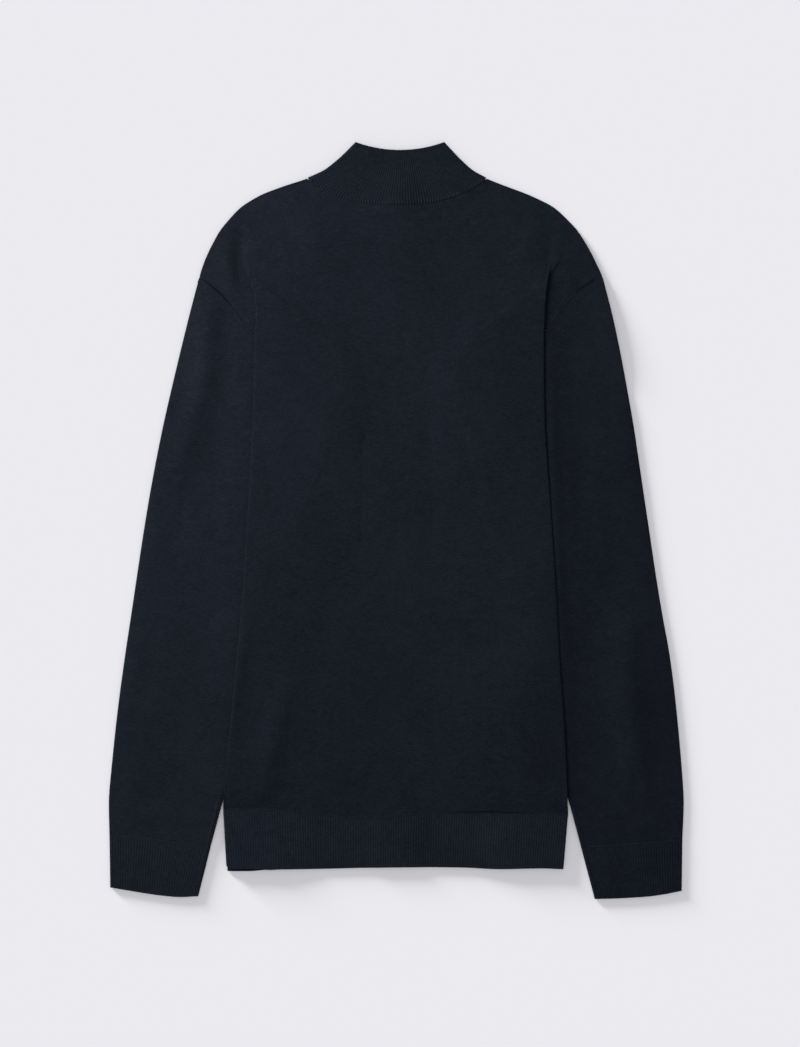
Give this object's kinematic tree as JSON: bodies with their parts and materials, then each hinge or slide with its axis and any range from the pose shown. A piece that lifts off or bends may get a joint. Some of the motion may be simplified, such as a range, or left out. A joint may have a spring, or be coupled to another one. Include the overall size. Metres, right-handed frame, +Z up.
{
  "type": "knitted cardigan",
  "caption": "Fine-gauge knitted cardigan with long dropped-shoulder sleeves, rib stand collar, cuffs and hem band, and a full-length zip, laid flat with its back up.",
  "frame": {"origin": "on the surface that the garment lies on, under the middle of its outline", "axes": "+Z up from the surface, out of the back; +Y from the hem to the collar; +X across, from the sleeve on the left of the picture to the one on its right"},
  "size_m": [0.5936, 0.7802, 0.0108],
  "materials": {
    "knit": "matt fine-gauge jersey",
    "rib": "matt 1 x 1 rib",
    "tape": "matt woven tape",
    "zip_metal": "dark nickel"
  },
  "bodies": {
    "garment": {"back": "knit", "front_left": "knit", "front_right": "knit", "sleeve_left": "knit", "sleeve_right": "knit", "cuff_left": "rib", "cuff_right": "rib", "hem_back": "rib", "hem_front_left": "rib", "hem_front_right": "rib", "collar": "rib", "zip_tape_left": "tape", "zip_tape_right": "tape", "zip_chain": "zip_metal", "zip_slider": "zip_metal"},
    "pull": {"zip_pull": "zip_metal"}
  },
  "joints": [
    {"name": "pull_swing", "type": "hinge", "parent": "garment", "child": "pull", "pos_m": [0.00072, 0.33025, 0.0015], "axis": [1, 0, 0], "range_deg": [0, 165]}
  ]
}
